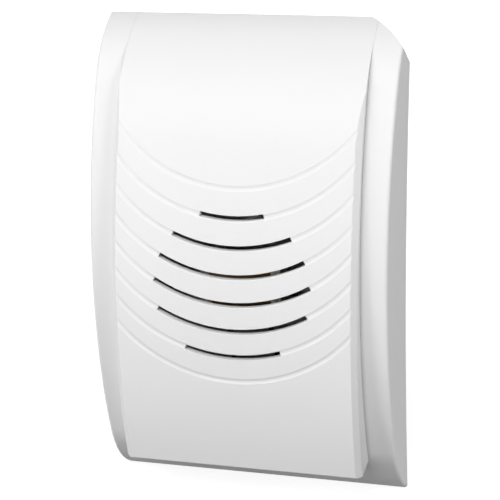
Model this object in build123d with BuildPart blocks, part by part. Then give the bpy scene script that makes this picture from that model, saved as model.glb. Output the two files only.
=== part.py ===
"""Wired two-note door chime in a curved wall casing.

Millimetres. +X is to the right, the front faces -Y, +Z is up, and the wall is the plane Y = 0.
The origin is the middle of the back, on the wall. A depth is a distance in front of the wall.
"""

import math
import os

from build123d import *

os.makedirs("parts", exist_ok=True)

# Casing outline
body_height = 135.0
body_width = 83.2
crown_depth = 26.3
shoulder_drop = 15.4
shoulder_depth = 15.7
rim_depth = 1.1
side_radius = 2400.0
casing_wall = 2.0
casing_edge_radius = 0.8

# Slanted relief at the upper right corner, where a finger pulls the cover off
relief_run = 10.1
relief_drop = 6.65
relief_rear_drop = 12.3
relief_radius = 41.0
relief_reach = 50.0

# Front panel: a flush inlay with a raised tongue
strip_width = 7.4
tongue_crown = 31.2
tongue_crown_height = -9.0
tongue_radius = 166.5
tongue_end_rise = 11.3
tongue_end_slope = 0.17
tongue_blend_drop = 4.0
tongue_blend_sink = 0.05
tongue_bevel = 1.5
tongue_end_radius = 0.5
panel_wall = 2.0
panel_hollow_drop = 15.5
seam_gap = 0.02

# Arched grooves in the panel, and the slots in all but the first and last, which end on one circle
groove_count = 8
groove_radius = 42.5
groove_top_drop = 42.3
groove_pitch_top = 8.11
groove_pitch_step = 0.145
groove_width = 1.6
groove_depth = 0.2
groove_steps = 16
slot_width = 1.4
slot_circle_radius = 21.8
slot_circle_drop = 27.1

# Ledge of the cover frame that carries the panel
ledge_thickness = 1.6
ledge_margin = 2.3
window_inset = 3.7
window_top_drop = 17.5
window_bottom_rise = 15.5

# Snap hooks of the panel
upper_hook_height = 10.0
lower_hook_rise = 25.5
hook_width = 6.0
hook_thickness = 1.3
hook_barb = 1.0
hook_barb_height = 1.2
hook_clearance = 0.3

# Back plate
plate_thickness = 2.5
plate_clearance = 0.3
plate_end_margin = 5.5
plate_corner = 3.0
guide_thickness = 1.5
guide_depth = 8.0
guide_end_margin = 12.0
end_guide_depth = 6.4
end_guide_length = 56.0
end_guide_inset = 4.0
rib_width = 1.2
rib_height = 1.0
rib_inset = 4.7
rib_end_margin = 17.0
nib_radius = 0.75
nib_rise = 0.2
nib_depth = 5.0
nib_length = 6.0
nib_spacing = 60.0

# Wall screws and cable entry
wall_slot_spacing_x = 36.0
wall_slot_inset = 10.0
wall_slot_width = 4.5
wall_slot_length = 8.0
cable_hole_rise = 12.0
grommet_bore = 6.0
grommet_neck = 9.0
grommet_flange = 13.0
grommet_lip = 1.2
grommet_recess = 1.3
fit_clearance = 0.05

# Striking mechanism
coil_height = -4.0
axis_depth = 14.0
plunger_diameter = 8.0
running_clearance = 0.08
striker_travel = 2.9
striker_end_gap = 0.1
core_length = 22.5
striker_rod = 5.0
striker_nose = 1.2
striker_nose_radius = 1.0
striker_flange = 11.0
striker_flange_thickness = 1.0
spigot_diameter = 3.0
spigot_length = 4.0
spigot_end_gap = 0.2

# Coil
bobbin_length = 20.0
bobbin_tube_wall = 0.9
bobbin_cheek_rim = 0.9
bobbin_cheek_thickness = 1.2
bobbin_corner = 1.0
winding_diameter = 15.2
tape_thickness = 0.4

# Steel yoke round the coil
yoke_thickness = 1.5
yoke_bore_clearance = 0.3
yoke_ear_width = 10.0
yoke_ear_reach = 16.0
yoke_screw_spacing = 25.5
yoke_bend_radius = 1.0

# Return spring
spring_wire = 0.6
spring_turns = 5
spring_clearance = 0.3
spring_samples = 200

# Tone bars
bar_inset = 4.5
bar_thickness = 2.5
bar_width = 13.0
left_bar_margin = 23.5
right_bar_shortfall = 12.0
bar_corner = 1.5
node_ratio = 0.224
bar_hole = 7.0
bar_bush_flange = 9.0
bar_bush_length = 5.0
peg_diameter = 3.6
peg_nose = 0.5
post_thickness = 3.0
post_width = 8.0
gusset_thickness = 1.6
gusset_length = 4.0
clip_diameter = 7.0
clip_thickness = 0.6
clip_notch = 1.0
clip_notch_count = 4

# Terminal block
block_width = 28.0
block_length = 12.0
block_height = 11.0
block_rise = 14.0
block_corner = 1.0
way_spacing = 13.0
way_depth = 8.0
sleeve_size = 5.4
sleeve_bore = 3.2
sleeve_recess = 0.5
clamp_screw_spacing = 6.0
clamp_screw_diameter = 2.6
clamp_screw_length = 3.0
clamp_head_diameter = 3.8
clamp_head_height = 1.4
clamp_well = 4.4
fixing_screw_diameter = 2.9
fixing_screw_length = 4.5
fixing_head_diameter = 5.4
fixing_head_height = 1.9
fixing_head_well = 5.8
screw_slot_width = 0.7
screw_slot_depth = 0.7
screw_edge = 0.4

# Lead wires
lead_diameter = 1.4
lead_offset = 6.0
lead_start_gap = 0.05
lead_drop_share = 0.23
lead_slope_share = 0.37
lead_bend_share = 0.45
lead_grip = 3.0

# Worked out from the sizes above
half_height = body_height / 2
half_width = body_width / 2
shoulder_height = half_height - shoulder_drop
inner_half_width = half_width - casing_wall
inlay_width = body_width - 2 * strip_width
tongue_end = tongue_end_rise - half_height
tongue_blend_height = half_height - tongue_blend_drop
panel_hollow_top = half_height - panel_hollow_drop
groove_low_top = half_height - groove_top_drop
groove_cut_radius = (groove_width ** 2 / 4 + groove_depth ** 2) / (2 * groove_depth)
slot_circle_height = groove_low_top - slot_circle_drop
ledge_inset = casing_wall + ledge_thickness
window_width = inlay_width - 2 * window_inset
window_top = half_height - window_top_drop
window_bottom = window_bottom_rise - half_height
hook_heights = (upper_hook_height, lower_hook_rise - half_height)
plate_width = 2 * (inner_half_width - plate_clearance)
plate_height = body_height - 2 * plate_end_margin
guide_length = plate_height - 2 * guide_end_margin
end_guide_height = plate_height / 2 - end_guide_inset
rib_spacing = plate_width - 2 * rib_inset
rib_length = plate_height - 2 * rib_end_margin
wall_slot_spacing_z = plate_height - 2 * wall_slot_inset
cable_hole_height = cable_hole_rise - plate_height / 2
block_center_height = cable_hole_height + block_rise
bar_offset = window_width / 2 - bar_inset
left_bar_length = body_height - 2 * left_bar_margin
right_bar_length = left_bar_length - right_bar_shortfall
bobbin_cheek = winding_diameter + 2 * bobbin_cheek_rim
yoke_top = axis_depth - bobbin_cheek / 2
yoke_seat = yoke_top - yoke_thickness
yoke_half = bobbin_length / 2 + yoke_thickness
tip_reach = bar_offset - bar_thickness / 2 - striker_end_gap - striker_travel
core_left = -(tip_reach - striker_nose - striker_flange_thickness)
core_right = core_left + core_length
peg_root = bar_offset + bar_bush_length / 2
peg_end = bar_offset - bar_bush_length / 2 - clip_thickness - peg_nose
left_nodes = left_bar_length * (0.5 - node_ratio)
right_nodes = right_bar_length * (0.5 - node_ratio)
block_front = plate_thickness + block_height
clamp_tip = way_depth + lead_diameter / 2 + fit_clearance
overcut = 1.0


class BowProfile:
    """Side profile of a shell: a flat arc about `middle`, then a tighter tangent arc towards each end."""

    def __init__(self, crown, middle, radius, sine, end_radius):
        self.crown = crown
        self.middle = middle
        self.radius = radius
        self.sine = sine
        self.end_radius = end_radius
        self.center_depth = crown - radius
        self.end_center = middle + (radius - end_radius) * sine
        self.end_center_depth = self.center_depth + (radius - end_radius) * math.sqrt(1 - sine ** 2)

    def turn(self, inset):
        """Height where the flat arc gives way to the end arc."""
        return self.middle + (self.radius - inset) * self.sine

    def flat_depth(self, height):
        """Depth of the flat arc, also where it is carried on past its turn."""
        return self.center_depth + math.sqrt(self.radius ** 2 - (height - self.middle) ** 2)

    def depth(self, height, inset=0.0):
        """Depth of the profile at a height on its upper side."""
        if height <= self.turn(inset):
            radius = self.radius - inset
            return self.center_depth + math.sqrt(radius ** 2 - (height - self.middle) ** 2)
        radius = self.end_radius - inset
        return self.end_center_depth + math.sqrt(radius ** 2 - (height - self.end_center) ** 2)

    def foot(self, inset):
        """Height where the profile meets the wall."""
        radius = self.end_radius - inset
        return self.end_center + math.sqrt(radius ** 2 - self.end_center_depth ** 2)


def profile_through(crown, turn, turn_depth, end, end_depth):
    """Profile about height 0 whose arcs meet at one point and end at another."""
    drop = crown - turn_depth
    radius = (turn ** 2 + drop ** 2) / (2 * drop)
    sine = turn / radius
    cosine = math.sqrt(1 - sine ** 2)
    along = end - turn
    down = turn_depth - end_depth
    end_radius = (along ** 2 + down ** 2) / (2 * (down * cosine - along * sine))
    return BowProfile(crown, 0.0, radius, sine, end_radius)


def profile_blended(crown, middle, radius, base, blend_height, sink):
    """Profile whose end arc runs out along the end arc of `base`, sunk in it, at the blend height."""
    base_radius = base.end_radius - sink
    sine = (blend_height - base.end_center) / base_radius
    cosine = math.sqrt(1 - sine ** 2)
    rise = base.end_center - middle
    drop = base.end_center_depth - (crown - radius)
    spare = radius - base_radius
    share = spare - rise * sine - drop * cosine
    growth = (spare ** 2 - rise ** 2 - drop ** 2) / (2 * share)
    end_radius = base_radius + growth
    return BowProfile(crown, middle, radius, (rise - growth * sine) / (radius - end_radius), end_radius)


casing = profile_through(crown_depth, shoulder_height, shoulder_depth, half_height, rim_depth)
tongue = profile_blended(
    tongue_crown, tongue_crown_height, tongue_radius, casing, tongue_blend_height, tongue_blend_sink
)


def side(depth, height):
    """Point of a side view, drawn on a plane that faces +X."""
    return (-depth, height)


def casing_point(height, inset):
    return side(casing.depth(abs(height), inset), height)


def draw_casing_arcs(inset, top, bottom):
    """Front line of the casing from the bottom up, in the current line."""
    turn = casing.turn(inset)
    ThreePointArc(
        casing_point(bottom, inset),
        casing_point((bottom - turn) / 2, inset),
        casing_point(-turn, inset),
    )
    ThreePointArc(
        casing_point(-turn, inset),
        casing_point(0.0, inset),
        casing_point(turn, inset),
    )
    ThreePointArc(
        casing_point(turn, inset),
        casing_point((turn + top) / 2, inset),
        casing_point(top, inset),
    )


def draw_casing_outline():
    """Whole side outline of the casing, from its front line to the wall."""
    draw_casing_arcs(0.0, half_height, -half_height)
    Polyline(
        casing_point(half_height, 0.0),
        side(0.0, half_height),
        side(0.0, -half_height),
        casing_point(-half_height, 0.0),
    )


def draw_hollow(inset):
    """Side outline of the casing's hollow at a wall of `inset`, open to the back."""
    foot = casing.foot(inset)
    draw_casing_arcs(inset, foot, -foot)
    Polyline(
        side(0.0, foot),
        side(-overcut, foot),
        side(-overcut, -foot),
        side(0.0, -foot),
    )


def draw_inlay_band():
    """Side outline of the flush layer that the panel fills, one casing wall thick."""
    foot = casing.foot(casing_wall)
    draw_casing_arcs(0.0, half_height, -half_height)
    draw_casing_arcs(casing_wall, foot, -foot)
    Polyline(casing_point(half_height, 0.0), side(0.0, half_height), side(0.0, foot))
    Polyline(casing_point(-half_height, 0.0), side(0.0, -half_height), side(0.0, -foot))


def draw_tongue_arcs(inset, bottom, top):
    """Front line of the tongue from the bottom up, in the current line, with its end arc if it gets there."""
    turn = min(top, tongue.turn(inset))
    ThreePointArc(
        side(tongue.depth(bottom, inset), bottom),
        side(tongue.crown - inset, tongue.middle),
        side(tongue.depth(turn, inset), turn),
    )
    if top > turn:
        ThreePointArc(
            side(tongue.depth(turn, inset), turn),
            side(tongue.depth((turn + top) / 2, inset), (turn + top) / 2),
            side(tongue.depth(top, inset), top),
        )


def end_rise(depth):
    """How much higher the tongue's slanting end is at a depth than at its front edge."""
    return tongue_end_slope * (tongue.depth(tongue_end) - depth)


def draw_tongue_body():
    """Side outline of the tongue, carried through the flush layer below it."""
    root = 2 * casing_wall
    root_end = tongue_end + end_rise(casing.depth(-tongue_end, root))
    draw_tongue_arcs(0.0, tongue_end, tongue_blend_height)
    draw_casing_arcs(root, tongue_blend_height - root, root_end)
    Line(
        side(tongue.depth(tongue_blend_height), tongue_blend_height),
        casing_point(tongue_blend_height - root, root),
    )
    Line(side(tongue.depth(tongue_end), tongue_end), casing_point(root_end, root))


def draw_bevel_block():
    """Side outline of a block under the tongue's flat arc alone, carried on past its turn."""
    low = -half_height
    ThreePointArc(
        side(tongue.flat_depth(low), low),
        side(tongue.crown, tongue.middle),
        side(tongue.flat_depth(half_height), half_height),
    )
    Polyline(
        side(tongue.flat_depth(half_height), half_height),
        side(0.0, half_height),
        side(0.0, low),
        side(tongue.flat_depth(low), low),
    )


def draw_panel_hollow():
    """Side outline of the hollow under the tongue, open to the back."""
    bottom = tongue_end + panel_wall
    draw_tongue_arcs(panel_wall, bottom, panel_hollow_top)
    Polyline(
        side(tongue.depth(panel_hollow_top, panel_wall), panel_hollow_top),
        side(-overcut, panel_hollow_top),
        side(-overcut, bottom + end_rise(-overcut)),
        side(tongue.depth(bottom, panel_wall), bottom),
    )


def half_width_at(height):
    """Half the casing's width at a height: its sides are wide arcs that pull in to a waist."""
    return half_width + side_radius - math.sqrt(side_radius ** 2 - height ** 2)


def draw_front_outline(inset):
    """Front view of the casing at an inset from its sides, carried on past its top and bottom."""
    tall = half_height + overcut
    wide = half_width_at(tall) - inset
    for way in (-1, 1):
        ThreePointArc((way * wide, -tall), (way * (half_width - inset), 0), (way * wide, tall))
    Line((-wide, tall), (wide, tall))
    Line((-wide, -tall), (wide, -tall))


# The relief is a bent face: straight along one side line, and a wide arc across it

relief_height = half_height - relief_drop
relief_depth = casing.depth(relief_height)
relief_front = Vector(half_width_at(relief_height), -relief_depth, relief_height)
relief_rear = Vector(relief_front.X, 0.0, half_height - relief_rear_drop)
relief_plane = Plane(origin=relief_front, x_dir=(1, 0, 0), z_dir=relief_front - relief_rear)
relief_end = Vector(half_width_at(half_height) - relief_run, -rim_depth, half_height)
relief_top = relief_plane.to_local_coords(relief_end)
relief_half_chord = math.hypot(relief_top.X, relief_top.Y) / 2
relief_tilt = math.atan2(-relief_top.X, relief_top.Y)
relief_half_angle = math.asin(relief_half_chord / relief_radius)
relief_sink = relief_radius * math.cos(relief_half_angle)
relief_center = (
    relief_top.X / 2 - relief_sink * math.cos(relief_tilt),
    relief_top.Y / 2 - relief_sink * math.sin(relief_tilt),
)


def relief_point(angle, radius, past=0.0):
    """Point of the relief's arc, or past it by a length along the tangent."""
    return (
        relief_center[0] + radius * math.cos(angle) - past * math.sin(angle),
        relief_center[1] + radius * math.sin(angle) + past * math.cos(angle),
    )


def draw_relief(inset):
    """Outline of all that the relief takes away, at an inset from its face."""
    radius = relief_radius - inset
    low = relief_tilt - relief_half_angle
    high = relief_tilt + relief_half_angle
    ThreePointArc(relief_point(low, radius), relief_point(relief_tilt, radius), relief_point(high, radius))
    Polyline(
        relief_point(high, radius),
        relief_point(high, radius, relief_reach),
        relief_point(relief_tilt, radius + 2 * relief_reach),
        relief_point(low, radius, -relief_reach),
        relief_point(low, radius),
    )


groove_lows = [
    groove_low_top - index * groove_pitch_top + groove_pitch_step * index * (index - 1) / 2
    for index in range(groove_count)
]


def groove_path(low):
    """Line along an arch with its lowest point at `low`, for the middle of the round cutter."""
    lift = groove_cut_radius - groove_depth
    points = []
    for step in range(groove_steps + 1):
        x = inlay_width * (step / groove_steps - 0.5)
        height = low + groove_radius - math.sqrt(groove_radius ** 2 - x ** 2)
        points.append((x, -tongue.depth(height, -lift), height))
    return points


def draw_slot(low):
    """Front view of the slot in one groove: it ends square where the groove meets the slots' circle."""
    center = low + groove_radius
    between = center - slot_circle_height
    reach = (groove_radius ** 2 - slot_circle_radius ** 2 + between ** 2) / (2 * between)
    half_turn = math.acos(reach / groove_radius)
    inner = groove_radius - slot_width / 2
    outer = groove_radius + slot_width / 2
    for radius in (inner, outer):
        end = (radius * math.sin(half_turn), center - radius * math.cos(half_turn))
        ThreePointArc((-end[0], end[1]), (0, center - radius), end)
    for way in (-1, 1):
        Line(
            (way * inner * math.sin(half_turn), center - inner * math.cos(half_turn)),
            (way * outer * math.sin(half_turn), center - outer * math.cos(half_turn)),
        )


# Planes and places of the mechanism

plunger_origin = Vector(0, -axis_depth, coil_height)
plunger_axis = Axis(plunger_origin, (1, 0, 0))
plunger_end_plane = Plane(origin=plunger_origin, x_dir=(0, 1, 0), z_dir=(1, 0, 0))
plunger_side_plane = Plane(origin=plunger_origin, x_dir=(1, 0, 0), z_dir=(0, -1, 0))
grommet_plane = Plane(origin=(0, 0, cable_hole_height), x_dir=(1, 0, 0), z_dir=(0, 0, -1))
bobbin_tube = plunger_diameter + 2 * running_clearance + 2 * bobbin_tube_wall
winding_half = bobbin_length / 2 - bobbin_cheek_thickness
spigot_hole = spigot_length + spigot_end_gap
bush_bore = peg_diameter + 2 * fit_clearance
fixing_places = [
    (0, coil_height - yoke_screw_spacing / 2),
    (0, coil_height + yoke_screw_spacing / 2),
    (0, block_center_height),
]
clamp_places = [
    (x * way_spacing / 2, 0, z * clamp_screw_spacing / 2)
    for x in (-1, 1)
    for z in (-1, 1)
]

# Helix of the return spring, as tangent arcs, two to each half turn

spring_radius = plunger_diameter / 2 + spring_clearance + spring_wire / 2
spring_from = core_left + spring_wire / 2 + fit_clearance
spring_length = -yoke_half - spring_wire / 2 - fit_clearance - spring_from
spring_rise = spring_length / (2 * math.pi * spring_turns)


def helix_point(angle):
    return plunger_origin + Vector(
        spring_from + spring_rise * angle,
        spring_radius * math.cos(angle),
        spring_radius * math.sin(angle),
    )


def helix_way(angle):
    """Unit direction of the helix at an angle."""
    return Vector(
        spring_rise,
        -spring_radius * math.sin(angle),
        spring_radius * math.cos(angle),
    ).normalized()


def helix_arcs(start_angle, end_angle):
    """Two arcs that leave and reach the helix along its own direction, and meet smoothly."""
    start, end = helix_point(start_angle), helix_point(end_angle)
    start_way, end_way = helix_way(start_angle), helix_way(end_angle)
    chord = end - start
    ways = start_way + end_way
    square = ways.dot(ways) - 4
    linear = -2 * chord.dot(ways)
    constant = chord.dot(chord)
    reach = (-linear - math.sqrt(linear ** 2 - 4 * square * constant)) / (2 * square)
    first_corner = start + start_way * reach
    second_corner = end - end_way * reach
    junction = (first_corner + second_corner) / 2
    return start, junction, end, start_way, second_corner - first_corner


spring_arcs = [
    helix_arcs(math.pi * index, math.pi * (index + 1))
    for index in range(2 * spring_turns)
]

# Solid blocks that the shells are cut with

with BuildPart() as casing_hollow:
    with BuildSketch(Plane.YZ):
        with BuildLine():
            draw_hollow(casing_wall)
        make_face()
    extrude(amount=half_width_at(half_height), both=True)
    with BuildSketch(Plane.XZ.offset(-2 * overcut)):
        with BuildLine():
            draw_front_outline(casing_wall)
        make_face()
    extrude(amount=crown_depth + 2 * overcut, mode=Mode.INTERSECT)
    with BuildSketch(Plane.YZ):
        with BuildLine():
            draw_casing_outline()
        make_face()
    extrude(amount=inlay_width / 2 + ledge_margin, both=True, mode=Mode.SUBTRACT)
    with BuildSketch(Plane.YZ):
        with BuildLine():
            draw_hollow(ledge_inset)
        make_face()
    extrude(amount=inlay_width / 2 + ledge_margin, both=True)
    with BuildSketch(relief_plane):
        with BuildLine():
            draw_relief(casing_wall)
        make_face()
    extrude(amount=relief_reach, both=True, mode=Mode.SUBTRACT)

with BuildPart() as inlay_space:
    with BuildSketch(Plane.YZ):
        with BuildLine():
            draw_inlay_band()
        make_face()
    extrude(amount=inlay_width / 2 + seam_gap, both=True)

# Cover frame: the curved casing with the ledge that carries the panel

with BuildPart() as cover_frame:
    with BuildSketch(Plane.YZ):
        with BuildLine():
            draw_casing_outline()
        make_face()
    extrude(amount=half_width_at(half_height) + overcut, both=True)
    with BuildSketch(Plane.XZ.offset(-overcut)):
        with BuildLine():
            draw_front_outline(0.0)
        make_face()
    extrude(amount=crown_depth + 2 * overcut, mode=Mode.INTERSECT)
    side_edges = edges().filter_by(
        lambda edge: abs(edge.center().X) > inner_half_width and edge.center().Y < -rim_depth
    )
    fillet(side_edges, radius=casing_edge_radius)
    with BuildSketch(relief_plane):
        with BuildLine():
            draw_relief(0.0)
        make_face()
    extrude(amount=relief_reach, both=True, mode=Mode.SUBTRACT)
    add(casing_hollow.part, mode=Mode.SUBTRACT)
    add(inlay_space.part, mode=Mode.SUBTRACT)
    with BuildSketch(Plane.XZ):
        with Locations((0, (window_top + window_bottom) / 2)):
            RectangleRounded(window_width, window_top - window_bottom, plate_corner)
    extrude(amount=crown_depth, mode=Mode.SUBTRACT)

# Front panel: flush inlay, raised tongue, grooves, slots and snap hooks

with BuildPart() as groove_cutter:
    for low in groove_lows:
        with BuildLine() as groove_line:
            Spline(*groove_path(low))
        with BuildSketch(Plane(origin=groove_line.line @ 0, z_dir=groove_line.line % 0)):
            Circle(groove_cut_radius)
        sweep()

with BuildPart() as front_panel:
    with BuildSketch(Plane.YZ):
        with BuildLine():
            draw_bevel_block()
        make_face()
    extrude(amount=inlay_width / 2, both=True)
    chamfer(faces().filter_by(Axis.X).edges().filter_by(GeomType.CIRCLE), length=tongue_bevel)
    with BuildSketch(Plane.YZ):
        with BuildLine():
            draw_tongue_body()
        make_face()
    extrude(amount=inlay_width / 2, both=True, mode=Mode.INTERSECT)
    fillet(edges().filter_by(Axis.X).sort_by(Axis.Z)[0], radius=tongue_end_radius)
    with BuildSketch(Plane.YZ):
        with BuildLine():
            draw_inlay_band()
        make_face()
    extrude(amount=inlay_width / 2, both=True)
    with BuildSketch(Plane.YZ):
        with BuildLine():
            draw_hollow(casing_wall)
        make_face()
    extrude(amount=half_width, both=True, mode=Mode.SUBTRACT)
    with BuildSketch(Plane.YZ):
        with BuildLine():
            draw_panel_hollow()
        make_face()
    extrude(amount=inlay_width / 2 - panel_wall, both=True, mode=Mode.SUBTRACT)
    with BuildSketch(relief_plane):
        with BuildLine():
            draw_relief(0.0)
        make_face()
    extrude(amount=relief_reach, both=True, mode=Mode.SUBTRACT)
    add(groove_cutter.part, mode=Mode.SUBTRACT)
    with BuildSketch(Plane.XZ.offset(axis_depth)):
        for low in groove_lows[1:-1]:
            with BuildLine():
                draw_slot(low)
            make_face()
    extrude(amount=tongue_crown, mode=Mode.SUBTRACT)
    for hook_height in hook_heights:
        hook_reach = casing.depth(abs(hook_height) + hook_width / 2, ledge_inset) - hook_clearance
        hook_root = tongue.depth(hook_height, panel_wall / 2)
        column_offset = window_width / 2 - hook_clearance - hook_thickness / 2
        with BuildSketch(Plane.XZ.offset(hook_reach - hook_barb_height)):
            with Locations((-column_offset, hook_height), (column_offset, hook_height)):
                Rectangle(hook_thickness, hook_width)
        extrude(amount=hook_root - hook_reach + hook_barb_height)
        for way in (-1, 1):
            with BuildSketch(Plane.XY.offset(hook_height)):
                with BuildLine():
                    barb_root = way * (column_offset + hook_thickness / 2)
                    barb_end = barb_root + way * (hook_clearance + hook_barb)
                    Polyline(
                        (barb_root, -hook_reach),
                        (barb_end, -hook_reach),
                        (barb_root, -hook_reach + hook_barb_height),
                        close=True,
                    )
                make_face()
            extrude(amount=hook_width / 2, both=True)

# Back plate with its guides, posts and pegs

with BuildPart() as back_plate:
    with BuildSketch(Plane.XZ):
        RectangleRounded(plate_width, plate_height, plate_corner)
    extrude(amount=plate_thickness)
    with BuildSketch(Plane.XZ):
        with GridLocations(plate_width - guide_thickness, 0, 2, 1):
            Rectangle(guide_thickness, guide_length)
    extrude(amount=guide_depth)
    with BuildSketch(Plane.XZ):
        with GridLocations(0, 2 * end_guide_height, 1, 2):
            Rectangle(end_guide_length, guide_thickness)
    extrude(amount=end_guide_depth)
    with BuildSketch(Plane.XZ):
        with GridLocations(rib_spacing, 0, 2, 1):
            Rectangle(rib_width, rib_length)
        with Locations((0, rib_length / 2)):
            Rectangle(rib_spacing, rib_width)
    extrude(amount=plate_thickness + rib_height)
    for nib_height in (-nib_spacing / 2, nib_spacing / 2):
        with BuildSketch(Plane.XY.offset(nib_height)):
            with Locations((0, -nib_depth)):
                with GridLocations(plate_width - 2 * (nib_radius - nib_rise), 0, 2, 1):
                    Circle(nib_radius)
        extrude(amount=nib_length / 2, both=True)
    with BuildSketch(Plane.XZ):
        with Locations((0, coil_height)):
            with GridLocations(0, yoke_screw_spacing, 1, 2):
                Circle(yoke_ear_width / 2)
            Rectangle(2 * yoke_half, bobbin_cheek)
    extrude(amount=yoke_seat)
    for way, nodes in ((-1, left_nodes), (1, right_nodes)):
        for post_height in (coil_height - nodes, coil_height + nodes):
            with BuildSketch(Plane.YZ.offset(way * peg_root)):
                with Locations(side(axis_depth, post_height)):
                    Circle(post_width / 2)
                with Locations(side(axis_depth / 2, post_height)):
                    Rectangle(axis_depth, post_width)
            extrude(amount=way * post_thickness)
            with BuildSketch(Plane.XY.offset(post_height)):
                with BuildLine():
                    gusset_root = way * (peg_root + post_thickness)
                    Polyline(
                        (gusset_root, 0),
                        (gusset_root + way * gusset_length, 0),
                        (gusset_root + way * gusset_length, -plate_thickness),
                        (gusset_root, -axis_depth),
                        close=True,
                    )
                make_face()
            extrude(amount=gusset_thickness / 2, both=True)
            with BuildSketch(Plane.YZ.offset(way * peg_end)):
                with Locations(side(axis_depth, post_height)):
                    Circle(peg_diameter / 2)
            extrude(amount=way * (peg_root - peg_end))
    with BuildSketch(Plane.XZ):
        with GridLocations(wall_slot_spacing_x, wall_slot_spacing_z, 2, 2):
            SlotOverall(wall_slot_length, wall_slot_width)
        with Locations((0, cable_hole_height)):
            Circle(grommet_neck / 2 + fit_clearance)
    extrude(amount=yoke_seat, mode=Mode.SUBTRACT)
    with BuildSketch(Plane.XZ):
        with Locations((0, cable_hole_height)):
            Circle(grommet_flange / 2 + fit_clearance)
    extrude(amount=grommet_recess, mode=Mode.SUBTRACT)
    with BuildSketch(Plane.XZ.offset(yoke_top - fixing_screw_length - fit_clearance)):
        with Locations(*fixing_places):
            Circle(fixing_screw_diameter / 2 + fit_clearance)
    extrude(amount=yoke_top, mode=Mode.SUBTRACT)
    with BuildSketch(relief_plane):
        with BuildLine():
            draw_relief(casing_wall + plate_clearance)
        make_face()
    extrude(amount=relief_reach, both=True, mode=Mode.SUBTRACT)

# Cable grommet: a rubber ring sprung into the hole of the back plate

with BuildPart() as cable_grommet:
    with BuildSketch(grommet_plane):
        with BuildLine():
            Polyline(
                (grommet_bore / 2, grommet_recess - grommet_lip),
                (grommet_flange / 2, grommet_recess - grommet_lip),
                (grommet_flange / 2, grommet_recess),
                (grommet_neck / 2, grommet_recess),
                (grommet_neck / 2, plate_thickness),
                (grommet_flange / 2, plate_thickness),
                (grommet_flange / 2, plate_thickness + grommet_lip),
                (grommet_bore / 2, plate_thickness + grommet_lip),
                close=True,
            )
        make_face()
    revolve(axis=Axis(grommet_plane.origin, (0, -1, 0)))
    lip_edges = edges().filter_by(GeomType.CIRCLE).filter_by(
        lambda edge: edge.radius > grommet_flange / 2 - fit_clearance
    )
    fillet(lip_edges.sort_by(Axis.Y)[0], radius=grommet_lip / 3)

# Coil: yoke, bobbin, winding and tape

with BuildPart() as coil_yoke:
    with BuildSketch(Plane.XY.offset(coil_height)):
        with BuildLine():
            Polyline(
                (-yoke_half, -yoke_seat),
                (yoke_half, -yoke_seat),
                (yoke_half, -(axis_depth + bobbin_cheek / 2)),
                (bobbin_length / 2, -(axis_depth + bobbin_cheek / 2)),
                (bobbin_length / 2, -yoke_top),
                (-bobbin_length / 2, -yoke_top),
                (-bobbin_length / 2, -(axis_depth + bobbin_cheek / 2)),
                (-yoke_half, -(axis_depth + bobbin_cheek / 2)),
                close=True,
            )
        make_face()
    extrude(amount=bobbin_cheek / 2, both=True)
    outer_bends = edges().filter_by(Axis.Z).group_by(Axis.Y)[-1]
    fillet(outer_bends, radius=yoke_bend_radius)
    with BuildSketch(Plane.XZ.offset(yoke_seat)):
        with Locations((0, coil_height)):
            SlotOverall(2 * yoke_ear_reach, yoke_ear_width, rotation=90)
    extrude(amount=yoke_thickness)
    with BuildSketch(plunger_end_plane):
        Circle(plunger_diameter / 2 + yoke_bore_clearance)
    extrude(amount=yoke_half + overcut, both=True, mode=Mode.SUBTRACT)
    with BuildSketch(Plane.XZ.offset(yoke_seat)):
        with Locations((0, coil_height)):
            with GridLocations(0, yoke_screw_spacing, 1, 2):
                Circle(fixing_screw_diameter / 2 + fit_clearance)
    extrude(amount=yoke_thickness, mode=Mode.SUBTRACT)

with BuildPart() as coil_bobbin:
    with BuildSketch(plunger_end_plane):
        RectangleRounded(bobbin_cheek, bobbin_cheek, bobbin_corner)
    extrude(amount=bobbin_length / 2, both=True)
    with BuildSketch(plunger_end_plane):
        Rectangle(bobbin_cheek + overcut, bobbin_cheek + overcut)
        Circle(bobbin_tube / 2, mode=Mode.SUBTRACT)
    extrude(amount=winding_half, both=True, mode=Mode.SUBTRACT)
    with BuildSketch(plunger_end_plane):
        Circle(plunger_diameter / 2 + running_clearance)
    extrude(amount=bobbin_length, both=True, mode=Mode.SUBTRACT)

with BuildPart() as coil_winding:
    with BuildSketch(plunger_end_plane):
        Circle(winding_diameter / 2)
        Circle(bobbin_tube / 2 + fit_clearance, mode=Mode.SUBTRACT)
    extrude(amount=winding_half, both=True)

with BuildPart() as coil_tape:
    with BuildSketch(plunger_end_plane):
        Circle(winding_diameter / 2 + fit_clearance + tape_thickness)
        Circle(winding_diameter / 2 + fit_clearance, mode=Mode.SUBTRACT)
    extrude(amount=winding_half, both=True)

# Plunger: steel core between two plastic strikers

with BuildPart() as plunger_core:
    with BuildSketch(plunger_end_plane.offset(core_left)):
        Circle(plunger_diameter / 2)
    extrude(amount=core_length)
    chamfer(edges().filter_by(GeomType.CIRCLE), length=screw_edge)
    with BuildSketch(plunger_end_plane.offset(core_left), plunger_end_plane.offset(core_right - spigot_hole)):
        Circle(spigot_diameter / 2 + fit_clearance)
    extrude(amount=spigot_hole, mode=Mode.SUBTRACT)

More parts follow.
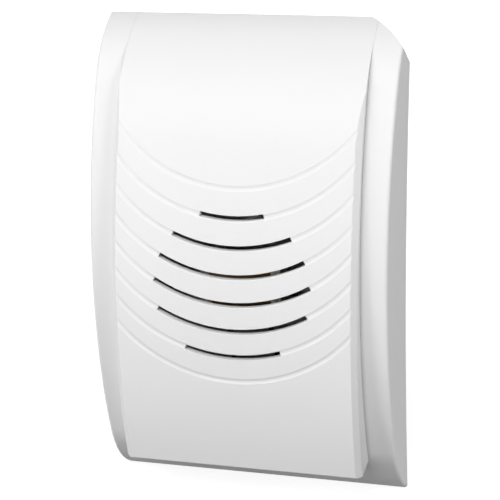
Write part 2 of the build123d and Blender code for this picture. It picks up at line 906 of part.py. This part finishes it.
with BuildPart() as striker_tip_left:
    with BuildSketch(plunger_side_plane):
        with BuildLine():
            Polyline(
                (core_left + spigot_length, 0),
                (core_left + spigot_length, spigot_diameter / 2),
                (core_left, spigot_diameter / 2),
                (core_left, striker_flange / 2),
                (core_left - striker_flange_thickness, striker_flange / 2),
                (core_left - striker_flange_thickness, striker_rod / 2),
                (-tip_reach, striker_rod / 2),
                (-tip_reach, 0),
                close=True,
            )
        make_face()
    revolve(axis=plunger_axis)
    fillet(edges().filter_by(GeomType.CIRCLE).sort_by(Axis.X)[0], radius=striker_nose_radius)

with BuildPart() as striker_tip_right:
    with BuildSketch(plunger_side_plane):
        with BuildLine():
            Polyline(
                (core_right - spigot_length, 0),
                (core_right - spigot_length, spigot_diameter / 2),
                (core_right, spigot_diameter / 2),
                (core_right, striker_rod / 2),
                (tip_reach, striker_rod / 2),
                (tip_reach, 0),
                close=True,
            )
        make_face()
    revolve(axis=plunger_axis)
    fillet(edges().filter_by(GeomType.CIRCLE).sort_by(Axis.X)[-1], radius=striker_nose_radius)

# Return spring: five open turns between the left striker's flange and the yoke

with BuildPart() as return_spring:
    with BuildLine() as spring_path:
        for start, junction, end, start_way, junction_way in spring_arcs:
            TangentArc(start, junction, tangent=start_way)
            TangentArc(junction, end, tangent=junction_way)
    with BuildSketch(Plane(origin=helix_point(0), z_dir=helix_way(0))):
        Circle(spring_wire / 2)
    sweep()

spring_wire_line = spring_path.wires()[0]
spring_points = [spring_wire_line.position_at(index / spring_samples) for index in range(spring_samples + 1)]
half_turn_samples = spring_samples // (2 * spring_turns)
spring_pitch_least = min(
    (other - point).length
    for index, point in enumerate(spring_points)
    for other in spring_points[index + half_turn_samples:]
)
print("spring: least gap to itself", round(spring_pitch_least - spring_wire, 2))

# Tone bars, their rubber bushes and the clips on the pegs


def tone_bar(x_center, length, nodes):
    """A flat steel bar on edge, with a hole at each of its two still points."""
    with BuildPart() as bar:
        with BuildSketch(Plane.YZ.offset(x_center)):
            with Locations(side(axis_depth, coil_height)):
                RectangleRounded(bar_width, length, bar_corner)
                with GridLocations(0, 2 * nodes, 1, 2):
                    Circle(bar_hole / 2, mode=Mode.SUBTRACT)
        extrude(amount=bar_thickness / 2, both=True)
    return bar.part


tone_bar_left = tone_bar(-bar_offset, left_bar_length, left_nodes)
tone_bar_right = tone_bar(bar_offset, right_bar_length, right_nodes)

bush_places = [
    (-bar_offset, -axis_depth, coil_height - left_nodes),
    (-bar_offset, -axis_depth, coil_height + left_nodes),
    (bar_offset, -axis_depth, coil_height - right_nodes),
    (bar_offset, -axis_depth, coil_height + right_nodes),
]

with BuildPart() as bar_bush:
    with BuildSketch(Plane.XY):
        with BuildLine():
            Polyline(
                (-bar_bush_length / 2, bush_bore / 2),
                (-bar_bush_length / 2, bar_bush_flange / 2),
                (-bar_thickness / 2, bar_bush_flange / 2),
                (-bar_thickness / 2, bar_hole / 2 - fit_clearance),
                (bar_thickness / 2, bar_hole / 2 - fit_clearance),
                (bar_thickness / 2, bar_bush_flange / 2),
                (bar_bush_length / 2, bar_bush_flange / 2),
                (bar_bush_length / 2, bush_bore / 2),
                close=True,
            )
        make_face()
    revolve(axis=Axis.X)

with BuildPart() as tone_bar_bushes:
    with Locations(*bush_places):
        add(bar_bush.part)

with BuildPart() as peg_clip:
    with BuildSketch(Plane.YZ.offset(-clip_thickness / 2)):
        Circle(clip_diameter / 2)
        Circle(bush_bore / 2, mode=Mode.SUBTRACT)
        with PolarLocations(bush_bore / 2, clip_notch_count):
            Rectangle(clip_notch, clip_notch, mode=Mode.SUBTRACT)
    extrude(amount=clip_thickness)

clip_shift = bar_bush_length / 2 + clip_thickness / 2

with BuildPart() as tone_bar_clips:
    with Locations(*[(x - math.copysign(clip_shift, x), y, z) for x, y, z in bush_places]):
        add(peg_clip.part)

# Terminal block, its brass sleeves and screws

with BuildPart() as terminal_block:
    with BuildSketch(Plane.XZ.offset(plate_thickness)):
        with Locations((0, block_center_height)):
            RectangleRounded(block_width, block_length, block_corner)
    extrude(amount=block_height)
    with BuildSketch(Plane.XY.offset(block_center_height)):
        with GridLocations(way_spacing, 0, 2, 1):
            with Locations((0, -way_depth)):
                Rectangle(sleeve_size + 2 * fit_clearance, sleeve_size + 2 * fit_clearance)
    extrude(amount=block_length, both=True, mode=Mode.SUBTRACT)
    with BuildSketch(Plane.XZ.offset(way_depth)):
        with Locations((0, block_center_height)):
            with GridLocations(way_spacing, clamp_screw_spacing, 2, 2):
                Circle(clamp_well / 2)
    extrude(amount=block_height, mode=Mode.SUBTRACT)
    with BuildSketch(Plane.XZ):
        with Locations((0, block_center_height)):
            Circle(fixing_screw_diameter / 2 + fit_clearance)
    extrude(amount=block_front, mode=Mode.SUBTRACT)
    with BuildSketch(Plane.XZ.offset(yoke_top)):
        with Locations((0, block_center_height)):
            Circle(fixing_head_well / 2)
    extrude(amount=block_front, mode=Mode.SUBTRACT)

with BuildPart() as terminal_sleeves:
    with BuildSketch(Plane.XY.offset(block_center_height)):
        with GridLocations(way_spacing, 0, 2, 1):
            with Locations((0, -way_depth)):
                Rectangle(sleeve_size, sleeve_size)
                Circle(sleeve_bore / 2, mode=Mode.SUBTRACT)
    extrude(amount=block_length / 2 - sleeve_recess, both=True)
    with BuildSketch(Plane.XZ.offset(way_depth)):
        with Locations((0, block_center_height)):
            with GridLocations(way_spacing, clamp_screw_spacing, 2, 2):
                Circle(clamp_screw_diameter / 2 + fit_clearance)
    extrude(amount=block_height, mode=Mode.SUBTRACT)


def slotted_screw(shank, length, head, head_height):
    """A pan-headed screw along +Y with the underside of its head at the origin."""
    with BuildPart() as screw:
        with BuildSketch(Plane.XZ.offset(-length)):
            Circle(shank / 2)
        extrude(amount=length)
        with BuildSketch(Plane.XZ):
            Circle(head / 2)
        extrude(amount=head_height)
        head_rim = edges().filter_by(GeomType.CIRCLE).group_by(Axis.Y)[0]
        fillet(head_rim, radius=screw_edge)
        chamfer(edges().filter_by(GeomType.CIRCLE).group_by(Axis.Y)[-1], length=screw_edge)
        with BuildSketch(Plane.XZ.offset(head_height - screw_slot_depth)):
            Rectangle(head, screw_slot_width)
        extrude(amount=screw_slot_depth, mode=Mode.SUBTRACT)
    return screw.part


clamp_screw = slotted_screw(clamp_screw_diameter, clamp_screw_length, clamp_head_diameter, clamp_head_height)
fixing_screw = slotted_screw(
    fixing_screw_diameter, fixing_screw_length, fixing_head_diameter, fixing_head_height
)

with BuildPart() as terminal_screws:
    with Locations((0, -(clamp_tip + clamp_screw_length), block_center_height)):
        with Locations(*clamp_places):
            add(clamp_screw)

with BuildPart() as fixing_screws:
    with Locations(*[(x, -yoke_top, z) for x, z in fixing_places]):
        add(fixing_screw)

# Lead wires from the coil to the terminal block


def lead_wire(way):
    """One insulated lead, from under the coil tape into its brass sleeve."""
    start_height = coil_height - winding_diameter / 2 - fit_clearance - tape_thickness - lead_start_gap
    end_height = block_center_height + block_length / 2 - sleeve_recess - lead_grip
    upper_height = start_height - lead_drop_share * (start_height - end_height)
    lower_height = upper_height - lead_slope_share * (start_height - end_height)
    route = [
        (way * lead_offset, -axis_depth, start_height),
        (way * lead_offset, -axis_depth, upper_height),
        (way * way_spacing / 2, -way_depth, lower_height),
        (way * way_spacing / 2, -way_depth, end_height),
    ]
    points = [Vector(*point) for point in route]
    runs = [end - start for start, end in zip(points, points[1:])]
    radii = []
    for before, after in zip(runs, runs[1:]):
        half_turn = math.radians(before.get_angle(after)) / 2
        radii.append(lead_bend_share * min(before.length, after.length) / math.tan(half_turn))
    with BuildPart() as lead:
        with BuildLine():
            FilletPolyline(*points, radius=radii)
        with BuildSketch(Plane(origin=points[0], z_dir=runs[0])):
            Circle(lead_diameter / 2)
        sweep()
    print("lead radii", [round(radius, 2) for radius in radii], "volume", round(lead.part.volume, 2))
    return lead.part


coil_lead_left = lead_wire(-1)
coil_lead_right = lead_wire(1)

pieces = {
    "cover_frame": cover_frame.part,
    "front_panel": front_panel.part,
    "back_plate": back_plate.part,
    "cable_grommet": cable_grommet.part,
    "coil_yoke": coil_yoke.part,
    "coil_bobbin": coil_bobbin.part,
    "coil_winding": coil_winding.part,
    "coil_tape": coil_tape.part,
    "plunger_core": plunger_core.part,
    "striker_tip_left": striker_tip_left.part,
    "striker_tip_right": striker_tip_right.part,
    "return_spring": return_spring.part,
    "tone_bar_left": tone_bar_left,
    "tone_bar_right": tone_bar_right,
    "tone_bar_bushes": tone_bar_bushes.part,
    "tone_bar_clips": tone_bar_clips.part,
    "terminal_block": terminal_block.part,
    "terminal_sleeves": terminal_sleeves.part,
    "terminal_screws": terminal_screws.part,
    "fixing_screws": fixing_screws.part,
    "coil_lead_left": coil_lead_left,
    "coil_lead_right": coil_lead_right,
}

for name, piece in pieces.items():
    piece.label = name
    export_step(piece, f"parts/{name}.step")
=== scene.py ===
"""Looks of a wired two-note door chime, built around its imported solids, in metres."""

import math

import bpy
from mathutils import Matrix, Vector


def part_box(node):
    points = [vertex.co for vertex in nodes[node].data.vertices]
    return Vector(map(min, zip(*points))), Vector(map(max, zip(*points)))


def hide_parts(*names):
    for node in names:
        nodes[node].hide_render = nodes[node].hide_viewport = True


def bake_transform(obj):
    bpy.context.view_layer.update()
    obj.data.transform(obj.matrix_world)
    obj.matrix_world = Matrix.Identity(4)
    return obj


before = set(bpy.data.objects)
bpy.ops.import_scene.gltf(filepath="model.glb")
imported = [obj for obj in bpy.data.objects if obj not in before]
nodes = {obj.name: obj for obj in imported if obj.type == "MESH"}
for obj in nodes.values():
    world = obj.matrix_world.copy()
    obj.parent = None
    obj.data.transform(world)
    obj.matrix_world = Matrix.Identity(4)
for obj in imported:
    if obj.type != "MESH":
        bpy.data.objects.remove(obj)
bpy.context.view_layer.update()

WHITE = (1, 1, 1, 1)

# Camera, from a fit to the photograph's edges. An unturned camera looks straight down,
# and its pitch counts from the level.
CAMERA_PLACE = (0.12253, -0.43335, 0.12529)
CAMERA_YAW = math.radians(16.21)
CAMERA_PITCH = math.radians(-15.47)
CAMERA_ROLL = math.radians(-1.053)
CAMERA_SENSOR = 36.0
CAMERA_CLIP_START = 0.01
FOCAL_PIXELS = 1643.1
IMAGE_PIXELS = 500
DOWNWARD_TO_LEVEL = math.radians(90)

camera_data = bpy.data.cameras.new("camera")
camera_data.sensor_width = CAMERA_SENSOR
camera_data.lens = FOCAL_PIXELS / IMAGE_PIXELS * CAMERA_SENSOR
camera_data.clip_start = CAMERA_CLIP_START
camera = bpy.data.objects.new("camera", camera_data)
bpy.context.scene.collection.objects.link(camera)
camera.matrix_world = (
    Matrix.Translation(CAMERA_PLACE)
    @ Matrix.Rotation(CAMERA_YAW, 4, "Z")
    @ Matrix.Rotation(DOWNWARD_TO_LEVEL + CAMERA_PITCH, 4, "X")
    @ Matrix.Rotation(CAMERA_ROLL, 4, "Z")
)
bpy.context.scene.camera = camera
bpy.context.scene.view_settings.view_transform = "Standard"

# Lamps: name, place, side of the square, watts. The numbers in the name of a lamp in front
# are its degrees to the side and above, as seen from the middle of the object.
OBJECT_MIDDLE = (0.0, -0.015, 0.0)
LAMPS = (
    ("lamp_front_0_40", (0.0, -1.16, 0.96), 0.5, 8.414),
    ("lamp_left_20_30", (-0.44, -1.24, 0.75), 0.5, 1.806),
    ("lamp_left_35_45", (-0.61, -0.88, 1.06), 0.5, 3.86),
    ("lamp_left_40_10", (-0.95, -1.15, 0.26), 0.5, 2.081),
    ("lamp_left_60_10", (-1.28, -0.75, 0.26), 0.5, 2.687),
    ("lamp_right_60_10", (1.28, -0.75, 0.26), 0.5, 3.903),
    ("lamp_right_60_35", (1.06, -0.63, 0.86), 0.5, 1.486),
    ("lamp_near_left_40_0", (-0.289, -0.36, 0.0), 0.15, 0.326),
    ("lamp_near_right_60_10", (0.384, -0.237, 0.078), 0.15, 0.357),
    ("lamp_back", (0.0, 1.4, 0.25), 0.5, 8.0),
)


def add_lamp(name, place, size, power):
    """Adds a soft square lamp that faces the middle of the object."""
    lamp_data = bpy.data.lights.new(name, "AREA")
    lamp_data.shape = "SQUARE"
    lamp_data.size = size
    lamp_data.energy = power
    lamp = bpy.data.objects.new(name, lamp_data)
    bpy.context.scene.collection.objects.link(lamp)
    aim = Vector(OBJECT_MIDDLE) - Vector(place)
    turn = aim.to_track_quat("-Z", "Y").to_matrix().to_4x4()
    lamp.matrix_world = Matrix.Translation(place) @ turn


for lamp_row in LAMPS:
    add_lamp(*lamp_row)


def add_node(tree, kind, inputs=None, **properties):
    """Adds a shader node with these properties, and these values on its inputs."""
    node = tree.nodes.new(kind)
    for key, value in properties.items():
        setattr(node, key, value)
    for key, value in (inputs or {}).items():
        node.inputs[key].default_value = value
    return node


def seen_directly(tree):
    """One for a camera, mirror or glass ray that meets the surface, zero for light that spreads."""
    path = add_node(tree, "ShaderNodeLightPath")
    straight = add_node(tree, "ShaderNodeMath", operation="ADD", use_clamp=True)
    every = add_node(tree, "ShaderNodeMath", operation="ADD", use_clamp=True)
    link = tree.links.new
    link(path.outputs["Is Camera Ray"], straight.inputs[0])
    link(path.outputs["Is Glossy Ray"], straight.inputs[1])
    link(straight.outputs["Value"], every.inputs[0])
    link(path.outputs["Is Transmission Ray"], every.inputs[1])
    return every.outputs["Value"]


# World: how strongly it lights the scene
WORLD_LEVEL = 0.12


def build_world():
    """Even studio light, white where the camera, a reflection or glass sees it."""
    world = bpy.data.worlds.new("studio")
    world.use_nodes = True
    tree = world.node_tree
    tree.nodes.clear()
    seen_mask = seen_directly(tree)
    room = add_node(tree, "ShaderNodeBackground", {"Color": WHITE, "Strength": WORLD_LEVEL})
    seen = add_node(tree, "ShaderNodeBackground", {"Color": WHITE})
    mixed = add_node(tree, "ShaderNodeMixShader")
    output = add_node(tree, "ShaderNodeOutputWorld")
    link = tree.links.new
    link(seen_mask, mixed.inputs["Fac"])
    link(room.outputs["Background"], mixed.inputs[1])
    link(seen.outputs["Background"], mixed.inputs[2])
    link(mixed.outputs["Shader"], output.inputs["Surface"])
    bpy.context.scene.world = world


build_world()

# Floor: its colour as seen, the darker colour with which it throws light on the object,
# the glow that is seen alone and grows with the distance, and its fibres
FLOOR_SIZE = 12.0
FLOOR_COLOR = (0.35, 0.35, 0.35, 1)
FLOOR_BOUNCE_COLOR = (0.12, 0.12, 0.12, 1)
FLOOR_GLOW = {"From Min": 0.15, "From Max": 1.2, "To Min": 0.86, "To Max": 1.0}
FIBRE_NOISE = {"Scale": 400.0, "Detail": 4.0}
FIBRE_RELIEF = {"Strength": 0.2, "Distance": 0.0001}


def build_floor_material():
    """Paper that glows just short of white near the object, so that it takes a faint shadow."""
    material = bpy.data.materials.new("floor_paper")
    material.use_nodes = True
    tree = material.node_tree
    tree.nodes.clear()
    place = add_node(tree, "ShaderNodeTexCoord")
    fibre = add_node(tree, "ShaderNodeTexNoise", FIBRE_NOISE)
    bump = add_node(tree, "ShaderNodeBump", FIBRE_RELIEF)
    seen_mask = seen_directly(tree)
    distance = add_node(tree, "ShaderNodeVectorMath", operation="LENGTH")
    glow = add_node(tree, "ShaderNodeMapRange", FLOOR_GLOW)
    seen_glow = add_node(tree, "ShaderNodeMath", operation="MULTIPLY")
    tone = add_node(tree, "ShaderNodeMix", data_type="RGBA")
    tone.inputs["A"].default_value = FLOOR_BOUNCE_COLOR
    tone.inputs["B"].default_value = FLOOR_COLOR
    paper = add_node(tree, "ShaderNodeBsdfDiffuse")
    seen = add_node(tree, "ShaderNodeEmission", {"Color": WHITE})
    total = add_node(tree, "ShaderNodeAddShader")
    output = add_node(tree, "ShaderNodeOutputMaterial")
    link = tree.links.new
    link(place.outputs["Object"], fibre.inputs["Vector"])
    link(fibre.outputs["Fac"], bump.inputs["Height"])
    link(bump.outputs["Normal"], paper.inputs["Normal"])
    link(seen_mask, tone.inputs["Factor"])
    link(tone.outputs["Result"], paper.inputs["Color"])
    link(place.outputs["Object"], distance.inputs[0])
    link(distance.outputs["Value"], glow.inputs["Value"])
    link(glow.outputs["Result"], seen_glow.inputs[0])
    link(seen_mask, seen_glow.inputs[1])
    link(seen_glow.outputs["Value"], seen.inputs["Strength"])
    link(paper.outputs["BSDF"], total.inputs[0])
    link(seen.outputs["Emission"], total.inputs[1])
    link(total.outputs["Shader"], output.inputs["Surface"])
    return material


bpy.ops.object.select_all(action="DESELECT")
floor_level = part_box("cover_frame")[0].z
bpy.ops.mesh.primitive_plane_add(size=FLOOR_SIZE, location=(0, 0, floor_level))
floor = bpy.context.object
floor.name = "floor"
bpy.ops.object.transform_apply(location=True)
floor.data.materials.append(build_floor_material())

# Effects that several materials share. Their scales count per metre, their heights in metres.
FLOW_NOISE = {"Detail": 3.0, "Roughness": 0.5}
GRAIN_NOISE = {"Detail": 2.0, "Roughness": 0.6}
AROUND_ZERO = {"To Min": -0.5, "To Max": 0.5}
SKIN_SAMPLES = 6
LINE_NOISE = {"Detail": 2.0}
LINE_RELIEF = {"Strength": 0.6}
PATCH_NOISE = {"Scale": 120.0, "Detail": 4.0}
METAL_EDGE = {"Radius": 0.0001}
METAL_SAMPLES = 4
SURFACE_OUTPUTS = (
    ("Color", "NodeSocketColor"),
    ("Roughness", "NodeSocketFloat"),
    ("Normal", "NodeSocketVector"),
)


def new_group(name, inputs, outputs):
    """Starts a shader node group with named sockets: its tree, input node and output node."""
    group = bpy.data.node_groups.new(name, "ShaderNodeTree")
    for socket_name, kind, value in inputs:
        socket = group.interface.new_socket(socket_name, in_out="INPUT", socket_type=kind)
        socket.default_value = value
    for socket_name, kind in outputs:
        group.interface.new_socket(socket_name, in_out="OUTPUT", socket_type=kind)
    return group, group.nodes.new("NodeGroupInput"), group.nodes.new("NodeGroupOutput")


def build_moulded_skin():
    """Fine grain of a mould, faint flow mottling, softened edges, and painted shade that darkens
    creases.
    """
    group, given, result = new_group(
        "moulded_skin",
        (
            ("Color", "NodeSocketColor", (0.8, 0.8, 0.8, 1)),
            ("Mottle", "NodeSocketFloat", 0.02),
            ("Mottle Scale", "NodeSocketFloat", 60.0),
            ("Roughness", "NodeSocketFloat", 0.4),
            ("Roughness Spread", "NodeSocketFloat", 0.05),
            ("Grain Scale", "NodeSocketFloat", 4000.0),
            ("Grain Height", "NodeSocketFloat", 0.00001),
            ("Edge Radius", "NodeSocketFloat", 0.0002),
            ("Crease Reach", "NodeSocketFloat", 0.0012),
            # Share of painted shade in closed creases and joints
            ("Crease Shade", "NodeSocketFloat", 0.4),
        ),
        SURFACE_OUTPUTS,
    )
    place = add_node(group, "ShaderNodeTexCoord")
    flow = add_node(group, "ShaderNodeTexNoise", FLOW_NOISE)
    grain = add_node(group, "ShaderNodeTexNoise", GRAIN_NOISE)
    shade = add_node(group, "ShaderNodeMapRange", AROUND_ZERO)
    # The colour is scaled by one plus the mottle, and by painted shade from ambient occlusion, down
    # to one less the crease shade share in closed creases
    tint = add_node(group, "ShaderNodeMath", {2: 1.0}, operation="MULTIPLY_ADD")
    tinted = add_node(group, "ShaderNodeVectorMath", operation="SCALE")
    spread = add_node(group, "ShaderNodeMath", operation="MULTIPLY_ADD")
    bump = add_node(group, "ShaderNodeBump")
    edge = add_node(group, "ShaderNodeBevel", samples=SKIN_SAMPLES)
    # Ambient occlusion within the crease reach, painted as shade into the colour in creases,
    # between parts and near the floor
    crease = add_node(group, "ShaderNodeAmbientOcclusion", samples=SKIN_SAMPLES)
    open_share = add_node(group, "ShaderNodeMapRange")
    # Tone of the most closed creases under the painted shade
    bare = add_node(group, "ShaderNodeMath", {0: 1.0}, operation="SUBTRACT")
    tone = add_node(group, "ShaderNodeMath", operation="MULTIPLY")
    link = group.links.new
    link(place.outputs["Object"], flow.inputs["Vector"])
    link(place.outputs["Object"], grain.inputs["Vector"])
    link(given.outputs["Mottle Scale"], flow.inputs["Scale"])
    link(given.outputs["Grain Scale"], grain.inputs["Scale"])
    link(flow.outputs["Fac"], shade.inputs["Value"])
    link(shade.outputs["Result"], tint.inputs[0])
    link(given.outputs["Mottle"], tint.inputs[1])
    link(given.outputs["Color"], tinted.inputs[0])
    link(given.outputs["Crease Reach"], crease.inputs["Distance"])
    link(crease.outputs["AO"], open_share.inputs["Value"])
    link(given.outputs["Crease Shade"], bare.inputs[1])
    link(bare.outputs["Value"], open_share.inputs["To Min"])
    link(tint.outputs["Value"], tone.inputs[0])
    link(open_share.outputs["Result"], tone.inputs[1])
    link(tone.outputs["Value"], tinted.inputs["Scale"])
    link(shade.outputs["Result"], spread.inputs[0])
    link(given.outputs["Roughness Spread"], spread.inputs[1])
    link(given.outputs["Roughness"], spread.inputs[2])
    link(given.outputs["Edge Radius"], edge.inputs["Radius"])
    link(edge.outputs["Normal"], bump.inputs["Normal"])
    link(grain.outputs["Fac"], bump.inputs["Height"])
    link(given.outputs["Grain Height"], bump.inputs["Distance"])
    link(tinted.outputs["Vector"], result.inputs["Color"])
    link(spread.outputs["Value"], result.inputs["Roughness"])
    link(bump.outputs["Normal"], result.inputs["Normal"])
    return group


def build_drawn_metal():
    """Fine lines of drawing or turning, drawn out by the stretch, with duller patches."""
    group, given, result = new_group(
        "drawn_metal",
        (
            ("Color", "NodeSocketColor", (0.6, 0.6, 0.6, 1)),
            ("Dull Color", "NodeSocketColor", (0.4, 0.4, 0.4, 1)),
            ("Dullness", "NodeSocketFloat", 0.4),
            ("Stretch", "NodeSocketVector", (1, 1, 1)),
            ("Line Scale", "NodeSocketFloat", 3000.0),
            ("Line Height", "NodeSocketFloat", 0.00001),
            ("Roughness", "NodeSocketFloat", 0.3),
            ("Roughness Spread", "NodeSocketFloat", 0.15),
        ),
        SURFACE_OUTPUTS,
    )
    place = add_node(group, "ShaderNodeTexCoord")
    stretched = add_node(group, "ShaderNodeVectorMath", operation="MULTIPLY")
    lines = add_node(group, "ShaderNodeTexNoise", LINE_NOISE)
    patches = add_node(group, "ShaderNodeTexNoise", PATCH_NOISE)
    dull = add_node(group, "ShaderNodeMath", operation="MULTIPLY", use_clamp=True)
    mixed = add_node(group, "ShaderNodeMix", data_type="RGBA")
    spread = add_node(group, "ShaderNodeMath", operation="MULTIPLY_ADD")
    bump = add_node(group, "ShaderNodeBump", LINE_RELIEF)
    edge = add_node(group, "ShaderNodeBevel", METAL_EDGE, samples=METAL_SAMPLES)
    link = group.links.new
    link(place.outputs["Object"], stretched.inputs[0])
    link(given.outputs["Stretch"], stretched.inputs[1])
    link(stretched.outputs["Vector"], lines.inputs["Vector"])
    link(given.outputs["Line Scale"], lines.inputs["Scale"])
    link(place.outputs["Object"], patches.inputs["Vector"])
    link(patches.outputs["Fac"], dull.inputs[0])
    link(given.outputs["Dullness"], dull.inputs[1])
    link(dull.outputs["Value"], mixed.inputs["Factor"])
    link(given.outputs["Color"], mixed.inputs["A"])
    link(given.outputs["Dull Color"], mixed.inputs["B"])
    link(patches.outputs["Fac"], spread.inputs[0])
    link(given.outputs["Roughness Spread"], spread.inputs[1])
    link(given.outputs["Roughness"], spread.inputs[2])
    link(edge.outputs["Normal"], bump.inputs["Normal"])
    link(lines.outputs["Fac"], bump.inputs["Height"])
    link(given.outputs["Line Height"], bump.inputs["Distance"])
    link(mixed.outputs["Result"], result.inputs["Color"])
    link(spread.outputs["Value"], result.inputs["Roughness"])
    link(bump.outputs["Normal"], result.inputs["Normal"])
    return group


moulded_skin = build_moulded_skin()
drawn_metal = build_drawn_metal()

# Heights of the grain and radii of the edges, in metres
FINE_GRAIN = 0.000004
COARSE_GRAIN = 0.00002
SOFT_EDGE = 0.0002
CRISP_EDGE = 0.0001
# Stretches of the coordinates: the lines run along the axis with a number below one
ALONG_X = (0.04, 1, 1)
ALONG_Z = (1, 1, 0.04)
SLIGHTLY_ALONG_X = (0.3, 1, 1)
EVEN = (1, 1, 1)


def new_material(name, group, values, fixed_values):
    """A material whose colour, roughness and normal come from a shared group."""
    material = bpy.data.materials.new(name)
    material.use_nodes = True
    tree = material.node_tree
    shader = tree.nodes["Principled BSDF"]
    for key, value in fixed_values.items():
        shader.inputs[key].default_value = value
    effect = tree.nodes.new("ShaderNodeGroup")
    effect.node_tree = group
    for key, value in values.items():
        effect.inputs[key].default_value = value
    link = tree.links.new
    link(effect.outputs["Color"], shader.inputs["Base Color"])
    link(effect.outputs["Roughness"], shader.inputs["Roughness"])
    link(effect.outputs["Normal"], shader.inputs["Normal"])
    return material


def moulding(
    name,
    color,
    roughness=0.4,
    mottle=0.02,
    grain_height=FINE_GRAIN,
    gloss=0.5,
    edge_radius=SOFT_EDGE,
    # Share of painted shade in creases
    crease_shade=0.4,
):
    """A moulded plastic or rubber, a film or a sheath, with painted shade in its creases."""
    skin = {
        "Edge Radius": edge_radius,
        "Crease Shade": crease_shade,
        "Color": (*color, 1),
        "Roughness": roughness,
        "Mottle": mottle,
        "Grain Height": grain_height,
    }
    return new_material(name, moulded_skin, skin, {"Specular IOR Level": gloss})


def metal(name, color, dull_color, stretch, roughness=0.3, dullness=0.5):
    """A metal with lines and duller patches, bare or plated."""
    finish = {
        "Color": (*color, 1),
        "Dull Color": (*dull_color, 1),
        "Stretch": stretch,
        "Roughness": roughness,
        "Dullness": dullness,
    }
    return new_material(name, drawn_metal, finish, {"Metallic": 1.0})


white_plastic = moulding(
    "white_satin_plastic",
    (0.80, 0.80, 0.80),
    roughness=0.5,
    gloss=0.25,
    edge_radius=CRISP_EDGE,
    # Painted shade in the creases of the white mouldings, deeper than in the others
    crease_shade=0.55,
)
# Back plate: white plastic greyed as painted shade, so that what shows through the slots is dark
shade_greyed_plate_plastic = moulding("white_matt_plastic_greyed_as_shade", (0.62, 0.62, 0.61), roughness=0.55, mottle=0.04)
natural_nylon = moulding("natural_nylon", (0.72, 0.68, 0.58), roughness=0.45, mottle=0.06)
pale_plastic = moulding("pale_block_plastic", (0.62, 0.62, 0.61), roughness=0.5, mottle=0.05)
black_rubber = moulding(
    "black_rubber", (0.025, 0.025, 0.025), roughness=0.7, mottle=0.4, grain_height=COARSE_GRAIN
)
grey_rubber = moulding(
    "grey_rubber", (0.10, 0.10, 0.10), roughness=0.7, mottle=0.3, grain_height=COARSE_GRAIN
)
# Amber tape, darkened as painted shade so that it looks dark through the slots
amber_film_darkened_as_shade = moulding("amber_film_darkened_as_shade", (0.20, 0.10, 0.02), roughness=0.3, mottle=0.2)
grey_sheath = moulding("grey_wire_sheath", (0.16, 0.16, 0.17), roughness=0.35, mottle=0.1)
blue_sheath = moulding("blue_wire_sheath", (0.03, 0.08, 0.25), roughness=0.35, mottle=0.1)
zinc_plate = metal(
    "zinc_plated_steel", (0.62, 0.62, 0.60), (0.42, 0.42, 0.40), EVEN, roughness=0.32
)
nickel_bar = metal(
    "nickel_plated_bar", (0.70, 0.68, 0.64), (0.55, 0.53, 0.50), ALONG_Z, roughness=0.22
)
turned_steel = metal("turned_steel", (0.56, 0.56, 0.56), (0.40, 0.40, 0.40), ALONG_X)
spring_wire = metal(
    "spring_wire_steel", (0.50, 0.50, 0.51), (0.32, 0.32, 0.33), EVEN, roughness=0.25
)
drawn_brass = metal("drawn_brass", (0.72, 0.52, 0.24), (0.48, 0.34, 0.15), ALONG_Z, roughness=0.28)
copper_wire = metal("enamelled_copper", (0.62, 0.22, 0.09), (0.40, 0.12, 0.05), SLIGHTLY_ALONG_X)

MATERIAL_OF_NODE = {
    "cover_frame": white_plastic,
    "front_panel": white_plastic,
    "back_plate": shade_greyed_plate_plastic,
    "cable_grommet": black_rubber,
    "coil_yoke": zinc_plate,
    "coil_bobbin": natural_nylon,
    "coil_winding": copper_wire,
    "coil_tape": amber_film_darkened_as_shade,
    "plunger_core": turned_steel,
    "striker_tip_left": natural_nylon,
    "striker_tip_right": natural_nylon,
    "return_spring": spring_wire,
    "tone_bar_left": nickel_bar,
    "tone_bar_right": nickel_bar,
    "tone_bar_bushes": grey_rubber,
    "tone_bar_clips": spring_wire,
    "terminal_block": pale_plastic,
    "terminal_sleeves": drawn_brass,
    "terminal_screws": zinc_plate,
    "fixing_screws": zinc_plate,
    "coil_lead_left": grey_sheath,
    "coil_lead_right": blue_sheath,
}

for node_name, node_material in MATERIAL_OF_NODE.items():
    for material_slot in nodes[node_name].material_slots:
        material_slot.material = node_material

# Spring: points closer than this are merged, and faces that meet at less than this angle
# are shaded as one round surface
MERGE_DISTANCE = 0.000001
SMOOTH_ANGLE = math.radians(35)


def build_flexing_spring():
    """The return spring again, as one smooth mesh that takes the place of the hidden imported one.
    """
    bpy.ops.object.select_all(action="DESELECT")
    spring = bpy.data.objects.new("return_spring_coil", nodes["return_spring"].data.copy())
    bpy.context.scene.collection.objects.link(spring)
    spring.select_set(True)
    bpy.context.view_layer.objects.active = spring
    bpy.ops.object.mode_set(mode="EDIT")
    bpy.ops.mesh.select_all(action="SELECT")
    bpy.ops.mesh.remove_doubles(threshold=MERGE_DISTANCE)
    bpy.ops.mesh.normals_make_consistent(inside=False)
    bpy.ops.object.mode_set(mode="OBJECT")
    bpy.ops.object.shade_smooth_by_angle(angle=SMOOTH_ANGLE)
    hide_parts("return_spring")
    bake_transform(spring)


build_flexing_spring()
